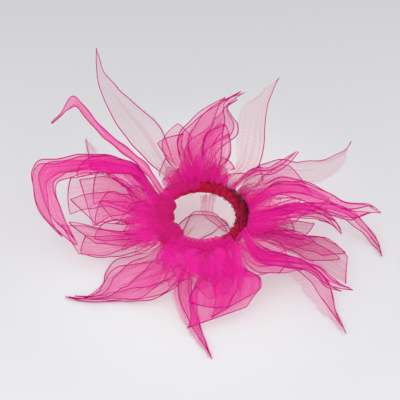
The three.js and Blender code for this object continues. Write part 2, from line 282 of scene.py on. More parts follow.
def run_lengths(grid, axis):
    """Distance run along the grid on one axis, from its first line."""
    steps = np.linalg.norm(np.diff(grid, axis=axis), axis=2)
    return np.concatenate([np.zeros_like(np.take(grid[..., 0], [0], axis)), np.cumsum(steps, axis)], axis)


def run_along(line):
    """Distance run along a line of points, from the first."""
    return np.concatenate([[0], np.cumsum(np.linalg.norm(np.diff(line, axis=0), axis=1))])


def shares_of(grid):
    """Share of the length at each row of the sheet, and of the width at each column."""
    return np.linspace(0, 1, grid.shape[0])[:, None], np.linspace(0, 1, grid.shape[1])[None, :]


def root_bearing(grid):
    """Bearing of the middle of a sheet's root."""
    return math.atan2(grid[0, :, 1].mean(), grid[0, :, 0].mean())


def smooth_step(value, low, high):
    """0 below low, 1 above high, and a smooth rise between."""
    t = np.clip((value - low) / (high - low), 0, 1)
    return t * t * (3 - 2 * t)


def flat_size(grid):
    """Width, length and area that the sheet was cut to, in whole millimetres of width and length."""
    width = run_lengths(grid, 1)[:, -1].max()
    length = run_lengths(grid, 0)[-1, :].max()
    sides = np.cross(grid[1:, :-1] - grid[:-1, :-1], grid[:-1, 1:] - grid[:-1, :-1])
    area = np.linalg.norm(sides, axis=2).sum()
    width = min(width, area / (0.36 * length))
    flat = [max(NARROWEST_CUT, math.ceil(side * EASE / MM) * MM) for side in (width, length)]
    return flat, float(np.clip(area * EASE, 0.32 * flat[0] * flat[1], flat[0] * flat[1]))


# ---------------------------------------------------------------- meshes


def new_piece(name, vertices, faces, material, uv, layers=None):
    """A smooth mesh with its UV map and, for cloth, how many layers lie at each point."""
    mesh = bpy.data.meshes.new(name)
    mesh.from_pydata([tuple(v) for v in vertices], [], faces)
    uv_layer = mesh.uv_layers.new(name="UVMap")
    corner_vertex = np.empty(len(mesh.loops), dtype=np.int32)
    mesh.loops.foreach_get("vertex_index", corner_vertex)
    uv_layer.data.foreach_set("uv", np.asarray(uv, dtype=np.float32)[corner_vertex].ravel())
    if layers is not None:
        attribute = mesh.attributes.new("layers", "FLOAT", "POINT")
        attribute.data.foreach_set("value", np.asarray(layers, dtype=np.float32).ravel())
    mesh.polygons.foreach_set("use_smooth", [True] * len(mesh.polygons))
    mesh.materials.append(material)
    mesh.update()
    piece = bpy.data.objects.new(name, mesh)
    bpy.context.scene.collection.objects.link(piece)
    return piece


def grid_piece(name, grid, material, layers):
    """A single-sided sheet on the grid, with its own cut size as its UV map, in metres."""
    rows, columns = grid.shape[:2]
    index = np.arange(rows * columns).reshape(rows, columns)
    faces = np.stack([index[:-1, :-1], index[1:, :-1], index[1:, 1:], index[:-1, 1:]], -1).reshape(-1, 4)
    uv = np.stack([run_lengths(grid, 1), run_lengths(grid, 0)], -1).reshape(-1, 2)
    return new_piece(name, grid.reshape(-1, 3), faces.tolist(), material, uv, layers)


class Bundle:
    """Tubes and yarns collected into one mesh."""

    def __init__(self):
        self.vertices, self.faces, self.uv = [], [], []

    def add(self, line, radius, sides=6, taper=0.0, grow=0.0):
        """A round yarn along the line, thinned towards its end by taper, full only past a length grow."""
        line = np.asarray(line, float)
        count = len(line)
        tangent = np.gradient(line, axis=0)
        tangent /= np.maximum(np.linalg.norm(tangent, axis=1, keepdims=True), 1e-12)
        side = np.cross(tangent[0], (0.31, 0.17, 0.93))
        side /= np.linalg.norm(side)
        run = run_along(line)
        first = len(self.vertices)
        for k in range(count):
            side = side - tangent[k] * side.dot(tangent[k])
            side /= max(np.linalg.norm(side), 1e-12)
            up = np.cross(tangent[k], side)
            thick = radius * (1 - taper * k / (count - 1))
            if grow:
                thick *= 0.25 + 0.75 * smooth_step(run[k], 0.3 * grow, grow)
            for n in range(sides):
                angle = 2 * math.pi * n / sides
                self.vertices.append(line[k] + thick * (math.cos(angle) * side + math.sin(angle) * up))
                self.uv.append((n / sides, run[k]))
        for k in range(count - 1):
            for n in range(sides):
                a = first + k * sides + n
                b = first + k * sides + (n + 1) % sides
                self.faces.append((a, b, b + sides, a + sides))
        self.faces.append(tuple(first + n for n in reversed(range(sides))))
        self.faces.append(tuple(first + (count - 1) * sides + n for n in range(sides)))

    def piece(self, name, material):
        return new_piece(name, self.vertices, self.faces, material, self.uv)


# ---------------------------------------------------------------- materials


def new_group(name, inputs, outputs):
    """An empty node group with its inputs, given with their defaults, and its outputs."""
    tree = bpy.data.node_groups.new(name, "ShaderNodeTree")
    for label, default in inputs:
        kind = "NodeSocketVector" if isinstance(default, tuple) else "NodeSocketFloat"
        socket = tree.interface.new_socket(name=label, in_out="INPUT", socket_type=kind)
        if not isinstance(default, tuple):
            socket.default_value = default
    for label in outputs:
        tree.interface.new_socket(name=label, in_out="OUTPUT", socket_type="NodeSocketFloat")
    return tree, tree.nodes.new("NodeGroupInput"), tree.nodes.new("NodeGroupOutput")


def set_inputs(node, **values):
    """Set a node's sockets, whose names have underscores here for their spaces."""
    for label, value in values.items():
        node.inputs[label.replace("_", " ")].default_value = value


def math_node(tree, operation, first, second=None, third=None, clamp=False):
    """The result of a sum on sockets or numbers."""
    node = tree.nodes.new("ShaderNodeMath")
    node.operation = operation
    node.use_clamp = clamp
    for socket, value in zip(node.inputs, (first, second, third)):
        if isinstance(value, bpy.types.NodeSocket):
            tree.links.new(value, socket)
        elif value is not None:
            socket.default_value = value
    return node.outputs[0]


def weave_group():
    """Plain weave of fine yarns with the soft bands that two layers of it make together."""
    name = "organza_weave"
    if name in bpy.data.node_groups:
        return bpy.data.node_groups[name]
    tree, given, result = new_group(
        name, [("UV", (0, 0, 0)), ("Yarns per Metre", 1400.0), ("Bands", 0.3)], ["Height", "Bands"]
    )
    split = tree.nodes.new("ShaderNodeSeparateXYZ")
    tree.links.new(given.outputs["UV"], split.inputs[0])
    yarns = []
    for axis in "XY":
        turns = math_node(tree, "MULTIPLY", split.outputs[axis], given.outputs["Yarns per Metre"])
        wave = math_node(tree, "SINE", math_node(tree, "MULTIPLY", turns, 2 * math.pi))
        yarns.append(math_node(tree, "ABSOLUTE", wave))
    tree.links.new(math_node(tree, "MAXIMUM", *yarns), result.inputs["Height"])
    cloud = tree.nodes.new("ShaderNodeTexNoise")
    set_inputs(cloud, Scale=55.0, Detail=1.0)
    tree.links.new(given.outputs["UV"], cloud.inputs["Vector"])
    bent = math_node(tree, "MULTIPLY", cloud.outputs["Fac"], 16.0)
    along = math_node(tree, "MULTIPLY", split.outputs["Y"], 2200.0)
    ripple = math_node(tree, "SINE", math_node(tree, "ADD", along, bent))
    scaled = math_node(tree, "MULTIPLY", ripple, given.outputs["Bands"])
    tree.links.new(math_node(tree, "ADD", scaled, 1.0), result.inputs["Bands"])
    return tree


def streak_group():
    """Fine creases that run the length of a gathered sheet."""
    name = "gather_streaks"
    if name in bpy.data.node_groups:
        return bpy.data.node_groups[name]
    tree, given, result = new_group(name, [("UV", (0, 0, 0)), ("Fineness", 240.0)], ["Streaks"])
    stretch = tree.nodes.new("ShaderNodeMapping")
    stretch.inputs["Scale"].default_value = (1.0, 0.07, 1.0)
    tree.links.new(given.outputs["UV"], stretch.inputs["Vector"])
    creases = tree.nodes.new("ShaderNodeTexNoise")
    creases.inputs["Detail"].default_value = 1.5
    tree.links.new(stretch.outputs[0], creases.inputs["Vector"])
    tree.links.new(given.outputs["Fineness"], creases.inputs["Scale"])
    tree.links.new(creases.outputs["Fac"], result.inputs["Streaks"])
    return tree


def material_base(name):
    """A new material with its node tree and its surface shader."""
    material = bpy.data.materials.new(name)
    material.use_nodes = True
    tree = material.node_tree
    tree.nodes.clear()
    surface = tree.nodes.new("ShaderNodeBsdfPrincipled")
    out = tree.nodes.new("ShaderNodeOutputMaterial")
    tree.links.new(surface.outputs[0], out.inputs[0])
    return material, tree, surface


def add_bump(tree, surface, height, strength, distance):
    """Raise the surface with a height from 0 to 1."""
    bump = tree.nodes.new("ShaderNodeBump")
    set_inputs(bump, Strength=strength, Distance=distance)
    tree.links.new(height, bump.inputs["Height"])
    tree.links.new(bump.outputs[0], surface.inputs["Normal"])


def add_group(tree, group, **values):
    """A group in the tree, with its inputs set or linked."""
    node = tree.nodes.new("ShaderNodeGroup")
    node.node_tree = group
    for label, value in values.items():
        socket = node.inputs[label.replace("_", " ")]
        if isinstance(value, bpy.types.NodeSocket):
            tree.links.new(value, socket)
        else:
            socket.default_value = value
    return node


def mixed_colour(tree, mask, low, high):
    """A colour that goes from low to high with the mask."""
    mix = tree.nodes.new("ShaderNodeMix")
    mix.data_type = "RGBA"
    tree.links.new(mask, mix.inputs[0])
    mix.inputs[6].default_value = (*low, 1)
    mix.inputs[7].default_value = (*high, 1)
    return mix.outputs[2]


def organza(name, sheer, colour, bands=0.12, streaks=0.35, deep=None):
    """Sheer woven cloth. sheer is what one layer covers, and the layers attribute says how many lie there."""
    material, tree, surface = material_base(name)
    uv = tree.nodes.new("ShaderNodeUVMap").outputs["UV"]
    layers = tree.nodes.new("ShaderNodeAttribute")
    layers.attribute_name = "layers"
    weave = add_group(tree, weave_group(), UV=uv, Bands=bands)
    crease = add_group(tree, streak_group(), UV=uv)
    uneven = math_node(tree, "MULTIPLY_ADD", crease.outputs["Streaks"], 2 * streaks, 1 - streaks)
    stacked = math_node(tree, "MULTIPLY", layers.outputs["Fac"], uneven)
    stacked = math_node(tree, "MULTIPLY", stacked, weave.outputs["Bands"])
    tilt = tree.nodes.new("ShaderNodeLayerWeight")
    tilt.inputs["Blend"].default_value = 0.5
    upright = math_node(tree, "SUBTRACT", 1.0, tilt.outputs["Facing"])
    slant = math_node(tree, "MAXIMUM", upright, LEAST_FACING)
    passed = math_node(tree, "DIVIDE", stacked, slant)
    gap = math_node(tree, "POWER", 1 - sheer, passed)
    cover = math_node(tree, "SUBTRACT", 1.0, gap, clamp=True)
    rays = tree.nodes.new("ShaderNodeLightPath")
    seen = math_node(tree, "MULTIPLY_ADD", rays.outputs["Is Camera Ray"], 1 - LIGHT_STOPPED, LIGHT_STOPPED)
    tree.links.new(math_node(tree, "MULTIPLY", cover, seen), surface.inputs["Alpha"])
    thick = tree.nodes.new("ShaderNodeMapRange")
    thick.interpolation_type = "SMOOTHSTEP"
    tree.links.new(stacked, thick.inputs["Value"])
    set_inputs(thick, From_Min=0.8, From_Max=5.0)
    deep = deep or tuple(cloth_settings().deep_colour)
    tree.links.new(mixed_colour(tree, thick.outputs[0], colour, deep), surface.inputs["Base Color"])
    add_bump(tree, surface, weave.outputs["Height"], 0.12, 0.05 * MM)
    set_inputs(surface, Roughness=0.55, Specular_IOR_Level=0.12)
    set_inputs(surface, Sheen_Weight=0.04, Sheen_Roughness=0.4, Sheen_Tint=(1.0, 0.75, 0.88, 1))
    return material


def yarn_material(name, colour, twist=2600.0):
    """Twisted sewing yarn, with painted shade between its plies."""
    material, tree, surface = material_base(name)
    uv = tree.nodes.new("ShaderNodeUVMap").outputs["UV"]
    split = tree.nodes.new("ShaderNodeSeparateXYZ")
    tree.links.new(uv, split.inputs[0])
    round_it = math_node(tree, "MULTIPLY", split.outputs["X"], 2 * math.pi)
    along = math_node(tree, "MULTIPLY", split.outputs["Y"], twist)
    plies = math_node(tree, "SINE", math_node(tree, "ADD", round_it, along))
    mask = math_node(tree, "MULTIPLY_ADD", plies, 0.5, 0.5)
    # painted shade: the yarn's colour is darkened to 0.78 of itself in the grooves between its plies
    dark = [c * 0.78 for c in colour]
    tree.links.new(mixed_colour(tree, mask, dark, colour), surface.inputs["Base Color"])
    add_bump(tree, surface, mask, 0.4, 0.1 * MM)
    set_inputs(surface, Roughness=0.75, Specular_IOR_Level=0.05)
    return material


def knit_material(colour, shade):
    """Brushed knit: ribs of fine loops, blotched with dark fibres, and with painted shade in the grooves of
    its twist, where the shade attribute says.
    """
    material, tree, surface = material_base("crimson_knit")
    place = tree.nodes.new("ShaderNodeTexCoord").outputs["Object"]
    dark = tree.nodes.new("ShaderNodeAttribute")
    dark.attribute_name = "shade"
    blotch = tree.nodes.new("ShaderNodeTexNoise")
    set_inputs(blotch, Scale=420.0, Detail=4.0)
    tree.links.new(place, blotch.inputs["Vector"])
    spread = math_node(tree, "MULTIPLY_ADD", blotch.outputs["Fac"], 1.6, -0.8)
    # the mask holds the dark fibres and random blotches, and the painted shade in the grooves between the
    # twisted ridges
    mask = math_node(tree, "ADD", dark.outputs["Fac"], spread, clamp=True)
    tree.links.new(mixed_colour(tree, mask, colour, shade), surface.inputs["Base Color"])
    loops = tree.nodes.new("ShaderNodeTexVoronoi")
    set_inputs(loops, Scale=1500.0)
    tree.links.new(place, loops.inputs["Vector"])
    add_bump(tree, surface, loops.outputs["Distance"], 0.7, 0.25 * MM)
    set_inputs(surface, Roughness=0.9, Specular_IOR_Level=0.1)
    set_inputs(surface, Sheen_Weight=0.3, Sheen_Tint=(1.0, 0.25, 0.35, 1))
    return material


def grained_material(name, colour, rough, metallic=0.0, grain=900.0):
    """Rubber or metal with a fine grain."""
    material, tree, surface = material_base(name)
    place = tree.nodes.new("ShaderNodeTexCoord").outputs["Object"]
    cloud = tree.nodes.new("ShaderNodeTexNoise")
    set_inputs(cloud, Scale=grain)
    tree.links.new(place, cloud.inputs["Vector"])
    light = [min(1.0, c * 1.25) for c in colour]
    tree.links.new(mixed_colour(tree, cloud.outputs["Fac"], colour, light), surface.inputs["Base Color"])
    add_bump(tree, surface, cloud.outputs["Fac"], 0.2, 0.05 * MM)
    set_inputs(surface, Roughness=rough, Metallic=metallic)
    return material


def shared_material(name, make, *values, **named):
    """The material of that name, made once."""
    return bpy.data.materials.get(name) or make(name, *values, **named)


def cloth_settings():
    return bpy.context.scene.scrunchie_cloth


def hem_material():
    return shared_material("hem_thread", yarn_material, tuple(cloth_settings().hem_colour))


def fray_material():
    return shared_material("frayed_yarn", yarn_material, tuple(cloth_settings().fibre_colour), 900.0)


# ---------------------------------------------------------------- cloth shapes


def seeded(name):
    """Random numbers that are always the same for a piece's name."""
    return np.random.default_rng(sum((k + 1) * ord(letter) for k, letter in enumerate(name)))


def waves(draw, along, across, count, low, high):
    """Smooth random waves over the sheet, from -1 to 1, with low to high turns along and across."""
    total = np.zeros(np.broadcast(along, across).shape)
    for _ in range(count):
        turn_along, turn_across = draw.uniform(low[0], high[0]), draw.uniform(low[1], high[1])
        total = total + np.sin(2 * math.pi * (turn_along * along + turn_across * across + draw.uniform()))
    return total / count


def creases(draw, along, across, count, width):
    """Folded lines that start at the root and wander slowly sideways: 1 on a line, 0 away from it."""
    total = np.zeros(np.broadcast(along, across).shape)
    for _ in range(count):
        start, lean = draw.uniform(0.08, 0.92), draw.uniform(-0.35, 0.35)
        reach = draw.uniform(0.45, 1.0)
        line = start + lean * along + 0.03 * np.sin(2 * math.pi * (along * 1.3 + draw.uniform()))
        fade = 1 - smooth_step(along, reach * 0.6, reach)
        total = total + np.exp(-(((across - line) / width) ** 2)) * fade
    return total


def section_of(points):
    """Bearing, section angle and section distance of each point, seen from the middle of the band."""
    bearing = np.arctan2(points[..., 1], points[..., 0])
    out = np.hypot(points[..., 0], points[..., 1]) - BAND_RADIUS
    up = points[..., 2] - BAND_HEIGHT
    return bearing, np.arctan2(up, out), np.hypot(out, up)


def band_points(bearing, angle, distance):
    """Points round the band from arrays of bearing, section angle and section distance."""
    reach = BAND_RADIUS + distance * np.cos(angle)
    up = BAND_HEIGHT + distance * np.sin(angle)
    return np.stack([reach * np.cos(bearing), reach * np.sin(bearing), up], -1)


def rooted(coarse, start_angle, spread=1.5, rows=3):
    """The sheet carried on from its root over the band, up to a section angle, where it is sewn down."""
    bearing, angle, distance = section_of(coarse[0])
    middle = root_bearing(coarse)
    away = (bearing - middle + math.pi) % (2 * math.pi) - math.pi
    added = []
    for k in range(rows):
        t = k / rows
        reach = (1 - t) * (COVER_RADIUS + ROOT_GAP) + t * distance
        turn = (1 - t) * math.radians(start_angle) + t * angle
        added.append(band_points(middle + away * (spread + (1 - spread) * t), turn, reach))
    return np.concatenate([np.array(added), coarse])


def start_angle_at(bearing, tier):
    """Where cloth is sewn down: over the top of the band where it is wrapped, beside it where it is bare."""
    wrapped = WRAPPED_FROM < math.degrees(bearing) % 360 < WRAPPED_TO
    return SEWN_AT[tier][wrapped]


def pointed(grid, share, width=0.12):
    """The sheet drawn in to a narrow tip over the last share of its length."""
    along = np.linspace(0, 1, len(grid))[:, None, None]
    middle = grid.mean(axis=1, keepdims=True)
    keep = 1 - (1 - width) * np.clip((along - 1 + share) / share, 0, 1) ** 2
    return middle + (grid - middle) * keep


def gathered(name, grid, pleats, amplitude, flutter, body_layers=1.0, folds=4, crowding=4.0):
    """Pleats at the root that open into flutter, and how many layers lie at each point."""
    draw = seeded(name)
    along, across = shares_of(grid)
    length = run_lengths(grid, 0).mean(axis=1)[:, None]
    local = np.maximum(run_lengths(grid, 1)[:, -1:], 2 * MM)
    opened = np.maximum.accumulate(local, axis=0)
    crowd = np.clip(1.15 * local.max() / opened, 1, crowding)
    normal = normals_of(grid)
    fade = np.exp(-((length / PLEATS_FADE) ** 1.2))
    far_fade = np.exp(-length / CROWDING_FADE)
    wander = 0.5 * waves(draw, along, across, 3, (0.4, 0.3), (1.2, 1.4))
    pleat = 0.62 * np.sin(2 * math.pi * (pleats * across + wander))
    pleat = pleat + 0.38 * np.sin(2 * math.pi * (1.73 * pleats * across + 1.4 * wander + draw.uniform()))
    free = smooth_step(length, 4 * MM, 30 * MM)
    sway = waves(draw, along, across, 4, (0.6, 0.2), (2.4, 1.3))
    edge_wave = np.sin(2 * math.pi * (length / EDGE_WAVE + draw.uniform() + 0.4 * across))
    edge = (np.abs(2 * across - 1) ** 3) * edge_wave
    lift = amplitude * fade * pleat * smooth_step(length, 0, 5 * MM) + flutter * free * (sway + 0.7 * edge)
    fold_lines = creases(draw, along, across, folds, 0.04)
    lift = lift + 0.5 * MM * fold_lines * free
    moved = grid + normal * lift[..., None]
    moved[..., 2] = np.maximum(moved[..., 2], TABLE_GAP)
    layers = body_layers * (crowd * (1 + 0.55 * far_fade * pleat) + 1.1 * fold_lines)
    return moved, np.maximum(layers, 0.2)


def edge_line(grid, side):
    """The line of points along one edge of a sheet."""
    return {"right": grid[:, 0], "left": grid[:, -1], "tip": grid[-1]}[side]


def hem_piece(name, grid, sides, radius=None):
    """Rolled hems along some sides of a sheet."""
    bundle = Bundle()
    radius = radius or cloth_settings().hem_diameter / 2
    for side in sides:
        line = edge_line(grid, side)
        if side != "tip":
            run = run_along(line)
            line = line[run > HEM_START]
        if len(line) > 3:
            bundle.add(line, radius, sides=6, taper=0.4, grow=0.0 if side == "tip" else 16 * MM)
    return bundle.piece(name, hem_material())


def fray_piece(name, grid, side, part=(0.25, 1.0), length=1.7 * MM, per_mm=2.2):
    """Loose yarns along a raw side of a sheet."""
    draw = seeded(name)
    line = edge_line(grid, side)
    inner = {"right": grid[:, 2], "left": grid[:, -3], "tip": grid[-3]}[side]
    run = run_along(line)
    bundle = Bundle()
    count = int(run[-1] / MM * per_mm * (part[1] - part[0]))
    for at in np.sort(draw.uniform(part[0], part[1], count)) * run[-1]:
        k = min(int(np.searchsorted(run, at)), len(line) - 1)
        out = line[k] - inner[k]
        out /= max(np.linalg.norm(out), 1e-9)
        along = line[min(k + 1, len(line) - 1)] - line[max(k - 1, 0)]
        along /= max(np.linalg.norm(along), 1e-9)
        lean = along * draw.uniform(-0.7, 0.7) + np.array([0, 0, draw.uniform(-0.3, 0.3)])
        far = length * draw.uniform(0.3, 1.0)
        points = [line[k] + (out * u + lean * u * u) * far for u in np.linspace(-0.15, 1, 4)]
        points = [np.array([p[0], p[1], max(p[2], 0.15 * MM)]) for p in points]
        bundle.add(points, cloth_settings().thread_diameter / 2, sides=3, taper=0.5)
    return bundle.piece(name, fray_material())


# ---------------------------------------------------------------- the tails

# node: grid of its CAD sheet (along, across), hemmed edges, raw edge, cover of one layer, pleats, and
# how many more layers lie inside its outline
UPPER_TAILS = {
    "right_claw": (9, 4, ("right", "left"), None, 0.27, 5, 2),
    "right_long_tail": (11, 4, ("right", "left"), None, 0.24, 6, 2),
    "right_curved_spike": (11, 4, ("left",), "right", 0.17, 6, 0),
    "upper_right_claw": (7, 2, ("right",), None, 0.24, 3, 1),
    "back_right_spike": (9, 4, ("right",), "left", 0.16, 4, 0),
    "back_petal": (7, 4, ("right", "left", "tip"), None, 0.25, 4, 2),
    "back_ruffle": (10, 4, ("right", "left"), None, 0.25, 7, 3),
    "back_left_spike": (10, 4, ("right", "left"), "right", 0.13, 5, 0),
    "curled_strip": (14, 2, ("right", "left"), None, 0.50, 3, 0),
    "left_loop": (16, 4, ("right", "left"), None, 0.33, 7, 2),
    "right_hooked_tail": (10, 4, ("right", "left"), None, 0.25, 5, 2),
}
LOWER_TAILS = {
    "right_low_strand": (12, 2, ("right", "left"), None, 0.26, 4, 1),
    "back_left_low_tail": (9, 4, ("left",), "right", 0.13, 4, 0),
    "left_broad_tail": (8, 6, ("right", "left", "tip"), None, 0.17, 7, 3),
    "left_lower_tail": (7, 4, ("right", "left", "tip"), None, 0.22, 6, 2),
    "front_left_tail": (11, 5, ("right", "left"), None, 0.21, 8, 3),
    "front_spike": (9, 4, ("left",), "right", 0.32, 5, 1),
    "front_square_tail": (7, 5, ("right", "left", "tip"), None, 0.50, 7, 2),
    "front_right_spike": (10, 4, ("left",), "right", 0.17, 6, 1),
    "right_grey_tail": (7, 4, ("left", "tip"), None, 0.30, 5, 2),
}
# share of the tail's length, then its right and left edges as shares of the tail's width, each from
# the root to its own end, so that the hems of the layers cross each other
LAYER_PATTERNS = (
    (0.98, -0.02, 0.38, 0.5, 1.03),
    (0.94, 0.5, -0.03, 1.0, 0.62),
    (0.88, 0.1, 0.62, 0.95, 1.05),
    (0.80, 0.2, -0.06, 1.05, 0.4),
)
# layers that spread outside their tail's outline
SPREAD_LAYERS = {
    "left_loop": (
        (0.5, 0.3, 0.7, 1.1, 2.1), (0.44, 0.6, 1.5, 1.5, 3.2), (0.62, 0.5, 0.4, 1.3, 1.35),
    ),
    "left_broad_tail": (
        (1.2, 0.0, 0.0, 0.9, 0.7), (1.14, 0.4, 0.45, 1.1, 1.12), (0.8, -0.3, -0.25, 0.5, 0.2),
    ),
    "right_claw": ((0.7, -1.0, -0.7, 0.6, 0.5), (0.6, -0.2, 0.0, 1.3, 1.7)),
    "right_long_tail": ((0.7, -0.9, -0.8, 0.6, 0.5), (0.6, 0.1, 0.5, 1.5, 1.8)),
    "right_hooked_tail": ((0.7, -0.6, -0.9, 0.8, 0.5), (0.6, 0.2, 0.3, 1.6, 1.8)),
    "back_ruffle": ((0.64, 0.3, 0.8, 1.4, 1.35), (0.5, 0.8, 0.9, 1.6, 1.5)),
    "back_petal": ((0.6, -0.5, -0.7, 0.6, 0.2),),
    "right_curved_spike": ((0.4, -0.4, 0.1, 0.9, 0.9),),
    "back_right_spike": ((0.36, 0.1, 0.0, 1.3, 1.0),),
    "back_left_spike": ((0.36, -0.1, 0.3, 1.4, 1.3), (0.3, -0.5, -0.2, 1.0, 0.6)),
    "front_right_spike": ((0.55, -0.5, -0.4, 0.9, 0.7), (0.5, 0.1, 0.4, 1.7, 2.0)),
    "right_grey_tail": ((0.72, 0.1, 0.6, 1.3, 1.45), (0.6, 0.4, 0.9, 1.5, 1.9)),
    "left_lower_tail": ((0.8, -0.3, -0.2, 0.6, 0.5),),
}
STRAIGHT_CUT = ("front_square_tail", "right_grey_tail", "left_lower_tail")
# sheets of a single layer look greyer or creamier than the gathered cloth
SINGLE_LAYER_COLOURS = {
    "back_left_spike": (0.62, 0.012, 0.18),
    "right_curved_spike": (0.62, 0.012, 0.18),
    "right_grey_tail": (0.66, 0.012, 0.22),
    "back_right_spike": (0.85, 0.22, 0.36),
    "back_left_low_tail": (0.60, 0.04, 0.20),
}
FINE_ALONG, FINE_ACROSS = 96, 56


def follow(piece, node):
    """Tie a piece to the band's body, or, for a hinged tail, bake its place into its mesh."""
    if node in HINGES:
        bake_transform(piece)
    else:
        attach(piece, "band")


def lay_sheet(sheet, grid, node, with_it=()):
    """Say what a sheet and its hems follow, and work out the size the sheet was cut to."""
    flat, area = flat_size(grid)
    for piece in (sheet, *with_it):
        follow(piece, node)


def inner_layer(name, grid, pattern, lift):
    """Another layer from the same root, whose two edges wander from share to share of the tail's width."""
    draw = seeded(name)
    reach, right_root, right_end, left_root, left_end = pattern
    along, across = shares_of(grid)
    drift = smooth_step(along, 0.0, 1.0) + 0.10 * np.sin(math.pi * along) * draw.uniform(-1, 1)
    right = right_root + (right_end - right_root) * drift
    left = left_root + (left_end - left_root) * drift
    share = right + (left - right) * across
    slant = draw.uniform(0.08, 0.24)
    shorter = slant * (across if draw.uniform() < 0.5 else 1 - across) ** 1.3
    inside = np.clip(share, 0, 1)
    beyond = share - inside
    row = along * reach * (1 - shorter * along) * (len(grid) - 1)
    column = inside * (grid.shape[1] - 1)
    i, k = np.minimum(row.astype(int), len(grid) - 2), np.minimum(column.astype(int), grid.shape[1] - 2)
    u, v = (row - i)[..., None], (column - k)[..., None]
    low = grid[i, k] * (1 - v) + grid[i, k + 1] * v
    high = grid[i + 1, k] * (1 - v) + grid[i + 1, k + 1] * v
    span = grid[:, -1] - grid[:, 0]
    wide = span[i] * (1 - u) + span[i + 1] * u
    layer = low * (1 - u) + high * u + beyond[..., None] * wide
    layer[..., 2] += lift * MM * smooth_step(along, 0, 0.3)
    return layer


def add_tail(node, spec):
    """One tail: its sheet, hems and frayed edge, and the layers that lie with it."""
    along, across, hemmed, raw, sheer, pleats, inner = spec
    settings = cloth_settings()
    colour = SINGLE_LAYER_COLOURS.get(node, tuple(settings.fibre_colour))
    coarse = cloth_grid(node, along, across)
    tier = "upper" if coarse[0, :, 2].mean() > BAND_HEIGHT else "lower"
    coarse = rooted(coarse, start_angle_at(root_bearing(coarse), tier))
    fine = refine(coarse, FINE_ALONG, FINE_ACROSS, straight=0.7 if node in STRAIGHT_CUT else 0.0)
    if "tip" not in hemmed and raw != "tip":
        fine = pointed(fine, 0.22)
    cloth = organza(node + "_organza", sheer, colour, bands=0.12 if sheer < 0.2 else 0.04)
    shape, layers = gathered(node, fine, pleats, 1.1 * MM, settings.flutter)
    sheet = grid_piece(node + "_cloth", shape, cloth, layers)
    with_it = [hem_piece(node + "_hem", shape, hemmed)]
    if raw:
        with_it.append(fray_piece(node + "_fray", shape, raw))
    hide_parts(node)
    lay_sheet(sheet, shape, node, with_it)
    for number, pattern in enumerate(LAYER_PATTERNS[:inner] + SPREAD_LAYERS.get(node, ()), 1):
        step = 0.7 + 0.8 * number
        lift = step if tier == "lower" or number % 2 else -step
        add_inner_layer(f"{node}_inner_{number}", node, fine, cloth, pleats, pattern, lift)


def add_inner_layer(name, node, fine, cloth, pleats, pattern, lift):
    """Another hemmed layer of a tail, lifted off it by lift millimetres."""
    settings = cloth_settings()
    grid = inner_layer(name, fine, pattern, lift)
    shape, layers = gathered(name, grid, pleats, 1.0 * MM, settings.flutter, crowding=1.9)
    sheet = grid_piece(name + "_cloth", shape, cloth, layers)
    hem = hem_piece(name + "_hem", shape, ("right", "left", "tip"), radius=settings.hem_diameter * 0.47)
    lay_sheet(sheet, shape, node, [hem])


class SCRUNCHIE_OT_upper_tails(bpy.types.Operator):
    """Make the upper tier of tails, which turn on their stitched roots"""

    bl_idname = "scrunchie.upper_tails"
    bl_label = "Upper Tails"

    def execute(self, context):
        for node, spec in UPPER_TAILS.items():
            add_tail(node, spec)
        return {"FINISHED"}


class SCRUNCHIE_OT_lower_tails(bpy.types.Operator):
    """Make the lower tier of tails, which lie out on the table"""

    bl_idname = "scrunchie.lower_tails"
    bl_label = "Lower Tails"

    def execute(self, context):
        for node, spec in LOWER_TAILS.items():
            add_tail(node, spec)
        return {"FINISHED"}


# ---------------------------------------------------------------- wraps, frills and bow

# how far each wrap runs on past its CAD strip at its start and end, in degrees, how far it bulges
# into the hole, in millimetres, how many layers lie there and how far round the section it starts
WRAPS = {
    "wrap_left": (10, 4, 12, 5.0, 7.0, 250),
    "wrap_back": (5, 4, 12, 1.6, 4.4, 148),
    "wrap_front": (6, 14, 8, 0.5, 3.0, 150),
}
LAST_ANGLE = -70  # degrees round the section where every wrap ends
WRAP_PLEAT, WRAP_CREASE, WRAP_WAVE = 3.4 * MM, 1.9 * MM, 60 * MM
# waves along the CAD frill, and cover of one layer
FRILLS = {
    "frill_left": (4, 0.33),
    "frill_back": (4, 0.30),
    "frill_right": (4, 0.27),
    "frill_front": (5, 0.33),
}
# height above the middle, share of the width, ripples for each wave, depth of a ripple in millimetres
RUFFLE_LAYERS = {
    "upper": (3.0, 1.15, 1.1, 1.8),
    "middle": (0.4, 1.0, 0.9, 2.0),
    "lower": (-2.6, 1.3, 1.2, 1.8),
}


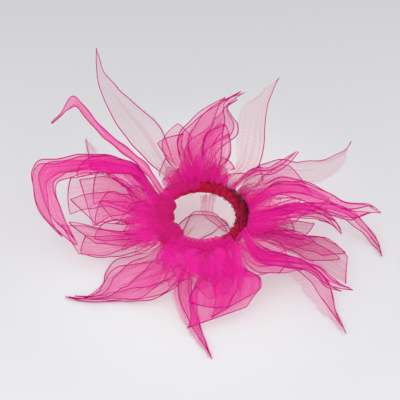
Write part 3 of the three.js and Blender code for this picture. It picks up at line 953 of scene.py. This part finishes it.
def add_wrap(node, along, before, after, bulge, layers_here, first_angle):
    """Gathered organza wound round the band, creased across it and puffed where it is loose."""
    coarse = cloth_grid(node, along, 12)
    middles = (row.mean(axis=0) for row in (coarse[0], coarse[-1]))
    ends = sorted(math.degrees(math.atan2(y, x)) % 360 for x, y, _ in middles)
    start, stop = math.radians(ends[0] - before), math.radians(ends[1] + after)
    run = np.linspace(0, 1, 30 * along)[:, None]
    turn = np.linspace(0, 1, 64)[None, :]
    length = (stop - start) * BAND_RADIUS
    draw = seeded(node)
    bearing = start + (stop - start) * run + 0 * turn
    angle = np.radians(first_angle - (first_angle - LAST_ANGLE) * turn) + 0 * run
    wander = 0.7 * waves(draw, run * length / WRAP_WAVE, turn, 3, (1, 0.3), (3, 1))
    pleat = 0.6 * np.sin(2 * math.pi * (run * length / WRAP_PLEAT + 0.9 * turn + wander))
    pleat = pleat + 0.4 * np.sin(2 * math.pi * (run * length / WRAP_CREASE - 0.4 * turn + 1.3 * wander))
    lumps = waves(draw, run * length / WRAP_WAVE, turn, 4, (1.5, 0.2), (5.0, 1.2))
    shut = smooth_step(run, 0, 0.12) * smooth_step(1 - run, 0, 0.12)
    inward = np.maximum(0, np.cos(angle - math.radians(158))) ** 1.5
    outward = np.maximum(0, np.cos(angle - math.radians(30)))
    swell = 0.9 + 0.4 * pleat + inward * bulge * (0.75 + 0.5 * lumps) + outward * (1.4 + 0.8 * lumps)
    distance = COVER_RADIUS + 0.5 * MM + swell * shut * MM
    grid = band_points(bearing, angle, distance)
    layers = (layers_here + 1.6 * pleat) * (0.35 + 0.65 * shut) + 0 * turn
    colour = tuple(cloth_settings().fibre_colour)
    cloth = shared_material("wound_organza", organza, 0.36, colour, streaks=0.5, deep=(0.60, 0.003, 0.16))
    sheet = grid_piece(node + "_cloth", grid, cloth, layers)
    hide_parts(node)
    lay_sheet(sheet, grid, node)


def add_ruffle(node, waves_round, sheer):
    """Three short ruffles, one above another, that stand out from the band's middle."""
    coarse = cloth_grid(node, 3, 6 * waves_round)
    coarse = rooted(coarse, start_angle_at(root_bearing(coarse), "middle"), spread=1.05, rows=2)
    smooth = refine(coarse, 30, 44 * waves_round)
    colour = tuple(cloth_settings().fibre_colour)
    cloth = organza(node + "_organza", sheer, colour, streaks=0.6, deep=(0.62, 0.003, 0.18))
    made = []
    for label, (up, share, ripples, depth) in RUFFLE_LAYERS.items():
        name = node + "_" + label
        draw = seeded(name)
        out, turn = shares_of(smooth)
        ends = np.sin(math.pi * turn) ** 0.5
        uneven = 1 + 0.4 * waves(draw, 0 * out, turn, 4, (0, 1), (0, 5))
        grid = smooth[:1] + (smooth - smooth[:1]) * (share * (0.45 + 0.55 * ends) * uneven)[..., None]
        phase = ripples * waves_round * turn + 0.8 * waves(draw, out, turn, 3, (0.2, 1), (0.8, 4))
        phase = phase + draw.uniform()
        fine_phase = 3.1 * phase + 0.5 * waves(draw, out, turn, 3, (0.3, 2), (1.0, 6))
        ripple = 0.75 * np.sin(2 * math.pi * phase) + 0.25 * (1 - out) * np.sin(2 * math.pi * fine_phase)
        grid[..., 2] += (up + depth * ripple * out + up * 0.5 * out) * MM
        side = np.cross(grid[0] / np.linalg.norm(grid[0], axis=1, keepdims=True), (0, 0, 1))
        grid = grid + side[None] * (0.7 * MM * np.cos(2 * math.pi * phase) * out)[..., None]
        streak = 0.5 + 0.5 * np.sin(2 * math.pi * fine_phase)
        layers = 0.55 + 3.8 * (1 - out) ** 1.2 * (0.7 + 0.6 * streak) + 0.5 * streak**4
        piece = grid_piece(name + "_cloth", grid, cloth, layers)
        hem = hem_piece(name + "_hem", grid, ("tip",), radius=cloth_settings().hem_diameter * 0.3)
        made.append((piece, hem, grid))
    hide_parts(node)
    for piece, hem, grid in made:
        lay_sheet(piece, grid, node, [hem])


# bearing in degrees, height and width in millimetres, lean along the band in millimetres
TUFTS = ((116, 12, 7, 5), (107, 17, 9, 3), (98, 19, 10, -3), (89, 14, 8, 5), (80, 11, 7, -4),
         (71, 13, 8, 2), (62, 10, 7, -5), (53, 9, 6, 3), (44, 8, 6, -3))


def add_tufts():
    """Small folded petals that stand up where the back gathers are sewn down."""
    cloth = organza("tuft_organza", 0.38, tuple(cloth_settings().fibre_colour), streaks=0.5)
    for number, (degrees, height, width, lean) in enumerate(TUFTS, 1):
        name = f"back_tuft_{number}"
        bearing = math.radians(degrees)
        outward = np.array([math.cos(bearing), math.sin(bearing), 0])
        sideways = np.array([-math.sin(bearing), math.cos(bearing), 0])
        root = band_points(np.array(bearing), np.array(math.radians(72)), np.array(COVER_RADIUS + 0.8 * MM))
        rise = np.linspace(0, 1, 40)[:, None, None]
        turn = np.linspace(-0.5, 0.5, 28)[None, :, None]
        wide = width * (0.35 + 1.5 * rise * (1 - rise) ** 0.7) * turn
        out = 0.35 * height * rise**2 - 0.3 * width * (2 * turn) ** 2
        upward = rise * height * np.array([0, 0, 1])
        grid = root + MM * (outward * out + sideways * (wide + lean * rise**1.5) + upward)
        shape, layers = gathered(name, grid, 3, 0.7 * MM, 0.7 * MM, body_layers=1.6, folds=3)
        sheet = grid_piece(name, shape, cloth, layers)
        lay_sheet(sheet, shape, name)


class SCRUNCHIE_OT_wraps(bpy.types.Operator):
    """Wind gathered organza round the band"""

    bl_idname = "scrunchie.wraps"
    bl_label = "Wraps"

    def execute(self, context):
        for node, values in WRAPS.items():
            add_wrap(node, *values)
        return {"FINISHED"}


class SCRUNCHIE_OT_ruffles(bpy.types.Operator):
    """Make the short ruffles between the two tiers of tails"""

    bl_idname = "scrunchie.ruffles"
    bl_label = "Ruffles"

    def execute(self, context):
        for node, (waves_round, sheer) in FRILLS.items():
            add_ruffle(node, waves_round, sheer)
        add_tufts()
        return {"FINISHED"}


LOBE = 11.0 * MM  # how far the middle of the bow's loop bulges out
DRAWN_BACK = 3.5 * MM  # and how far all of it is then drawn back


class SCRUNCHIE_OT_bow(bpy.types.Operator):
    """Make the folded bow at the front and its loose end"""

    bl_idname = "scrunchie.bow"
    bl_label = "Bow"

    def execute(self, context):
        colour = tuple(cloth_settings().fibre_colour)
        cloth = organza("bow_organza", 0.50, colour, streaks=0.3)
        for node, along, across, layers_here in (("bow_loop", 12, 4, 1.9), ("bow_end", 8, 2, 1.2)):
            coarse = cloth_grid(node, along, across)
            fine = refine(coarse, FINE_ALONG, FINE_ACROSS)
            fine = pointed(fine, 0.3) if node == "bow_end" else self.rounded(fine)
            shape, layers = gathered(node, fine, 4, 1.6 * MM, 0.9 * MM, body_layers=layers_here, folds=7)
            sheet = grid_piece(node + "_cloth", shape, cloth, layers)
            hem = hem_piece(node + "_hem", shape, ("right", "left"), radius=0.15 * MM)
            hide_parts(node)
            lay_sheet(sheet, shape, node, [hem])
        return {"FINISHED"}

    def rounded(self, grid):
        """The loop drawn together at its root and swollen to a round lobe at its fold."""
        along = np.linspace(0, 1, grid.shape[0])[:, None, None]
        across = np.linspace(-1, 1, grid.shape[1])[None, :, None]
        middle = grid.mean(axis=1, keepdims=True)
        swell = np.sin(math.pi * along) ** 0.8 * (1 - 0.18 * across)
        out = middle[:1] * (1, 1, 0)
        out /= np.linalg.norm(out)
        wide = middle + (grid - middle) * (0.5 + 0.6 * swell)
        return wide + out * LOBE * swell * (1 - np.abs(across) ** 2.5) - out * DRAWN_BACK * swell


STRIP_TURN = math.radians(10)
STRIP_ROOT, STRIP_TIP = 13, 2  # widths of the strip in millimetres
UNDER_LAYERS = {"under_sheet": ((1.0, -0.3, 0.5, 0.2, 1.15),)}


class SCRUNCHIE_OT_under_sheets(bpy.types.Operator):
    """Make the sheets that hang under the hole and lie on the table"""

    bl_idname = "scrunchie.under_sheets"
    bl_label = "Under Sheets"

    def execute(self, context):
        pale, pink = SINGLE_LAYER_COLOURS["back_left_low_tail"], tuple(cloth_settings().fibre_colour)
        for node, along, across, pleats, sheer, colour in (
            ("under_sheet", 8, 4, 4, 0.075, pale), ("under_strip", 8, 2, 3, 0.22, pink)
        ):
            cloth = organza(node + "_organza", sheer, colour, bands=0.06)
            coarse = cloth_grid(node, along, across)
            fine = refine(coarse, FINE_ALONG, FINE_ACROSS)
            if node == "under_strip":
                fine = self.drawn_in(fine)
            shape, layers = gathered(node, fine, pleats, 0.6 * MM, 0.3 * MM, folds=2)
            sheet = grid_piece(node + "_cloth", shape, cloth, layers)
            hem = hem_piece(node + "_hem", shape, ("right", "left", "tip"))
            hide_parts(node)
            lay_sheet(sheet, shape, node, [hem])
            for number, pattern in enumerate(UNDER_LAYERS.get(node, ()), 1):
                add_inner_layer(f"{node}_inner_{number}", node, fine, cloth, pleats, pattern, 0.5 * number)
        return {"FINISHED"}

    def drawn_in(self, grid):
        """The strip narrowed evenly from its root to a thin end."""
        middle = grid.mean(axis=1, keepdims=True)
        along = np.linspace(0, 1, len(grid))[:, None, None]
        sideways = np.array([math.cos(STRIP_TURN), math.sin(STRIP_TURN), 0])
        width = (STRIP_ROOT * (1 - along) + STRIP_TIP * along) * MM
        return middle + sideways * width * np.linspace(0.5, -0.5, grid.shape[1])[None, :, None]


# ---------------------------------------------------------------- the band

FIBRE_RADIUS = 0.11 * MM
DARK_BEARING = 12  # degrees round the band where its dark fibres are thickest


def on_band(bearing, angle, distance):
    """A point round the band: bearing about its axis, angle and distance on its section."""
    reach = BAND_RADIUS + distance * math.cos(angle)
    up = BAND_HEIGHT + distance * math.sin(angle)
    return np.array([reach * math.cos(bearing), reach * math.sin(bearing), up])


def shade_at(bearing, angle, point):
    """How dark the cover's own fibres make it: blotches of dark fibre on the outer right; the painted shade
    in the grooves is added where this is called.
    """
    right = math.exp(-(((math.degrees(bearing) - DARK_BEARING) / 48) ** 2))
    outer = 0.5 + 0.5 * math.cos(angle - 0.5)
    blotch = noise.noise(Vector(point) * 330) * 0.9
    return float(np.clip(right * outer * (0.75 + blotch) - 0.05, 0, 1))


class SCRUNCHIE_OT_band(bpy.types.Operator):
    """Make the crimson cover of the elastic, with its twisted ridges and loose fibres"""

    bl_idname = "scrunchie.band"
    bl_label = "Band"

    def execute(self, context):
        settings = context.scene.scrunchie_band
        bpy.ops.object.select_all(action="DESELECT")
        bpy.ops.mesh.primitive_torus_add(
            major_radius=BAND_RADIUS, minor_radius=COVER_RADIUS,
            major_segments=300, minor_segments=40, location=(0, 0, BAND_HEIGHT),
        )
        cover = context.object
        cover.name = cover.data.name = "band_knit"
        bpy.ops.object.transform_apply(location=True, rotation=True, scale=True)
        shade = []
        for vertex in cover.data.vertices:
            x, y, z = vertex.co
            bearing = math.atan2(y, x)
            angle = math.atan2(z - BAND_HEIGHT, math.hypot(x, y) - BAND_RADIUS)
            rope = abs(math.sin((settings.twist * bearing + 2 * angle) / 2))
            inner = max(0.0, -math.cos(angle)) ** 2
            lumps = 0.5 * noise.noise(vertex.co * 260)
            rise = settings.ridge * (rope - 0.8 + lumps + 0.5 * inner * math.sin(19 * bearing))
            vertex.co = on_band(bearing, angle, COVER_RADIUS + rise)
            # the shade attribute: dark fibre blotches, plus painted shade in the grooves between the twisted
            # ridges
            shade.append(min(1.0, shade_at(bearing, angle, (x, y, z)) + 0.55 * max(0.0, 0.45 - rope)))
        attribute = cover.data.attributes.new("shade", "FLOAT", "POINT")
        attribute.data.foreach_set("value", shade)
        bpy.ops.object.shade_smooth()
        knit = knit_material(tuple(settings.knit_colour), tuple(settings.shade_colour))
        cover.data.materials.append(knit)
        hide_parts("band_cover")
        fuzz = self.fuzz(settings)
        for piece in (cover, *fuzz):
            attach(piece, "band")
        return {"FINISHED"}

    def fuzz(self, settings):
        """Loose fibres: crimson all round, dark ones on the outer right."""
        draw = seeded("fuzz")
        bundles = {"band_fuzz": Bundle(), "band_dark_fuzz": Bundle()}
        for k in range(settings.fuzz):
            dark = k % 2 == 0
            bearing = math.radians(draw.normal(DARK_BEARING, 34) if dark else draw.uniform(-70, 110))
            angle = draw.normal(0.6, 0.8) if dark else draw.uniform(-1.5, 3.6)
            length = draw.uniform(1.0, 2.6) * MM
            swing = draw.normal(0, 0.07)
            line = []
            for u in np.linspace(0, 1, 5):
                arch = math.sin(math.pi * min(1, 1.2 * u) * 0.7)
                height = COVER_RADIUS + (0.1 + 0.9 * arch) * length * 0.55
                line.append(on_band(bearing + swing * u, angle + 0.25 * u * draw.normal(1, 0.4), height))
            bundles["band_dark_fuzz" if dark else "band_fuzz"].add(line, FIBRE_RADIUS, sides=3, taper=0.6)
        red = shared_material("knit_fibre", yarn_material, tuple(settings.knit_colour), 700.0)
        black = shared_material("dark_fibre", yarn_material, tuple(settings.shade_colour), 700.0)
        return [
            bundles["band_fuzz"].piece("band_fuzz", red),
            bundles["band_dark_fuzz"].piece("band_dark_fuzz", black),
        ]


class SCRUNCHIE_OT_threads(bpy.types.Operator):
    """Make the threads that bind the band and close its cover, and finish the elastic inside"""

    bl_idname = "scrunchie.threads"
    bl_label = "Threads"

    def execute(self, context):
        dark = shared_material("dark_thread", yarn_material, (0.10, 0.004, 0.02), 3000.0)
        self.coil("binding_thread", start=-58, end=86, pitch=5.5 * MM, diameter=0.7 * MM, material=dark)
        self.zigzag("seam_thread", start=104, end=196, stitches=14, diameter=0.6 * MM, material=dark)
        rubber = grained_material("elastic_rubber", (0.03, 0.026, 0.028), 0.6)
        steel = grained_material("joiner_steel", (0.55, 0.56, 0.58), 0.32, metallic=1.0, grain=2500.0)
        for node, material in (("elastic_core", rubber), ("core_joiner", steel)):
            mesh = frame["nodes"][node].data
            mesh.materials.clear()
            mesh.materials.append(material)
        return {"FINISHED"}

    def finish(self, bundle, node, material):
        piece = bundle.piece(node + "_yarn", material)
        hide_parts(node)
        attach(piece, "band")

    def coil(self, node, start, end, pitch, diameter, material):
        """A thread wound round the band between two bearings in degrees."""
        turns = round(math.radians(end - start) * BAND_RADIUS / pitch)
        bundle = Bundle()
        line = []
        for t in np.linspace(0, 1, 40 * turns):
            loose = 0.25 * MM * math.sin(37 * t)
            bearing = math.radians(start + (end - start) * t)
            distance = COVER_RADIUS + 0.5 * diameter + loose + 0.1 * MM
            line.append(on_band(bearing, 2 * math.pi * turns * t, distance))
        bundle.add(line, diameter * 0.36, sides=8)
        self.finish(bundle, node, material)

    def zigzag(self, node, start, end, stitches, diameter, material):
        """A thread sewn from side to side under the band between two bearings in degrees."""
        bundle = Bundle()
        line = []
        for t in np.linspace(0, 1, 12 * stitches):
            bearing = math.radians(start + (end - start) * t)
            angle = -math.pi / 2 + math.radians(12) * math.sin(math.pi * stitches * t)
            line.append(on_band(bearing, angle, COVER_RADIUS + diameter))
        bundle.add(line, diameter * 0.5, sides=8)
        self.finish(bundle, node, material)


# ---------------------------------------------------------------- stage

# where each lamp stands, its power in watts and its width
LAMPS = {"key": ((-0.5, -0.5, 0.9), 1.6, 0.9), "fill": ((0.6, 0.3, 0.8), 0.8, 0.9)}
FLOOR_GAP = 0.3 * MM
CAMERA_PLACE, CAMERA_TARGET = (-0.0007, -0.5373, 0.6168), (-0.0007, 0.00826, 0.0317)
FOCAL_LENGTH, SENSOR_WIDTH = 105, 36


class SCRUNCHIE_OT_stage(bpy.types.Operator):
    """Set up the floor, the soft light and the camera"""

    bl_idname = "scrunchie.stage"
    bl_label = "Stage"

    def execute(self, context):
        self.floor(context)
        self.light(context)
        self.camera(context)
        scene = context.scene
        scene.cycles.transparent_max_bounces = 40
        scene.view_settings.view_transform = "Standard"
        scene.view_settings.look = "None"
        return {"FINISHED"}

    def floor(self, context):
        bpy.ops.object.select_all(action="DESELECT")
        bpy.ops.mesh.primitive_plane_add(size=6, location=(0, 0, -FLOOR_GAP))
        floor = context.object
        floor.name = "floor"
        bpy.ops.object.transform_apply(location=True, rotation=True, scale=True)
        material, tree, surface = material_base("floor_card")
        place = tree.nodes.new("ShaderNodeTexCoord").outputs["Object"]
        split = tree.nodes.new("ShaderNodeSeparateXYZ")
        tree.links.new(place, split.inputs[0])
        # painted light: the floor is painted lighter towards the front and darker towards the back
        fall = tree.nodes.new("ShaderNodeMapRange")
        tree.links.new(split.outputs["Y"], fall.inputs["Value"])
        set_inputs(fall, From_Min=-0.2, From_Max=0.28)
        colour = tuple(context.scene.scrunchie_stage.floor_colour)
        near = [min(1.0, c * 1.05) for c in colour]
        far = [c * 0.78 for c in colour]
        # painted pool of light: the floor is painted near-white round the middle, under the scrunchie, which
        # lightens its shadow there
        spread = tree.nodes.new("ShaderNodeVectorMath")
        spread.operation = "LENGTH"
        tree.links.new(place, spread.inputs[0])
        glow = tree.nodes.new("ShaderNodeMapRange")
        glow.interpolation_type = "SMOOTHSTEP"
        tree.links.new(spread.outputs["Value"], glow.inputs["Value"])
        set_inputs(glow, From_Min=0.01, From_Max=0.16, To_Min=1.0, To_Max=0.0)
        lit = tree.nodes.new("ShaderNodeMix")
        lit.data_type = "RGBA"
        tree.links.new(glow.outputs[0], lit.inputs[0])
        tree.links.new(mixed_colour(tree, fall.outputs[0], near, far), lit.inputs[6])
        lit.inputs[7].default_value = (0.95, 0.95, 0.96, 1)
        tree.links.new(lit.outputs[2], surface.inputs["Base Color"])
        set_inputs(surface, Roughness=0.9, Specular_IOR_Level=0.0)
        floor.data.materials.append(material)

    def light(self, context):
        world = bpy.data.worlds.new("soft_dome")
        world.use_nodes = True
        sky = world.node_tree.nodes["Background"]
        set_inputs(sky, Color=(1, 1, 1, 1), Strength=context.scene.scrunchie_stage.daylight)
        context.scene.world = world
        for name, (place, power, size) in LAMPS.items():
            lamp = bpy.data.lights.new(name, "AREA")
            lamp.energy, lamp.size = power, size
            holder = bpy.data.objects.new(name, lamp)
            holder.location = place
            holder.rotation_euler = (-Vector(place)).to_track_quat("-Z", "Y").to_euler()
            context.scene.collection.objects.link(holder)

    def camera(self, context):
        lens = bpy.data.cameras.new("camera")
        lens.lens, lens.sensor_width = FOCAL_LENGTH, SENSOR_WIDTH
        holder = bpy.data.objects.new("camera", lens)
        place, target = Vector(CAMERA_PLACE), Vector(CAMERA_TARGET)
        holder.location = place
        holder.rotation_euler = (target - place).to_track_quat("-Z", "Y").to_euler()
        context.scene.collection.objects.link(holder)
        context.scene.camera = holder


# ---------------------------------------------------------------- panel and run


class SCRUNCHIE_PT_panel(bpy.types.Panel):
    """Buttons that build the scrunchie"""

    bl_idname = "SCRUNCHIE_PT_panel"
    bl_label = "Organza Scrunchie"
    bl_space_type = "VIEW_3D"
    bl_region_type = "UI"
    bl_category = "Scrunchie"

    def draw(self, context):
        for group in SETTINGS:
            settings = getattr(context.scene, group)
            for name in settings.__annotations__:
                self.layout.prop(settings, name)
        for operator in OPERATORS:
            self.layout.operator(operator.bl_idname)


SETTINGS = {
    "scrunchie_cloth": ScrunchieCloth,
    "scrunchie_band": ScrunchieBand,
    "scrunchie_stage": ScrunchieStage,
}
OPERATORS = (
    SCRUNCHIE_OT_stage,
    SCRUNCHIE_OT_band,
    SCRUNCHIE_OT_threads,
    SCRUNCHIE_OT_wraps,
    SCRUNCHIE_OT_ruffles,
    SCRUNCHIE_OT_bow,
    SCRUNCHIE_OT_upper_tails,
    SCRUNCHIE_OT_lower_tails,
    SCRUNCHIE_OT_under_sheets,
)


def register():
    for item in (*SETTINGS.values(), *OPERATORS, SCRUNCHIE_PT_panel):
        bpy.utils.register_class(item)
    for name, group in SETTINGS.items():
        setattr(bpy.types.Scene, name, bpy.props.PointerProperty(type=group))


def unregister():
    for name in SETTINGS:
        delattr(bpy.types.Scene, name)
    for item in (SCRUNCHIE_PT_panel, *reversed(OPERATORS), *SETTINGS.values()):
        bpy.utils.unregister_class(item)


def main():
    register()
    for operator in OPERATORS:
        group, name = operator.bl_idname.split(".")
        getattr(getattr(bpy.ops, group), name)()


if __name__ == "__main__":
    main()
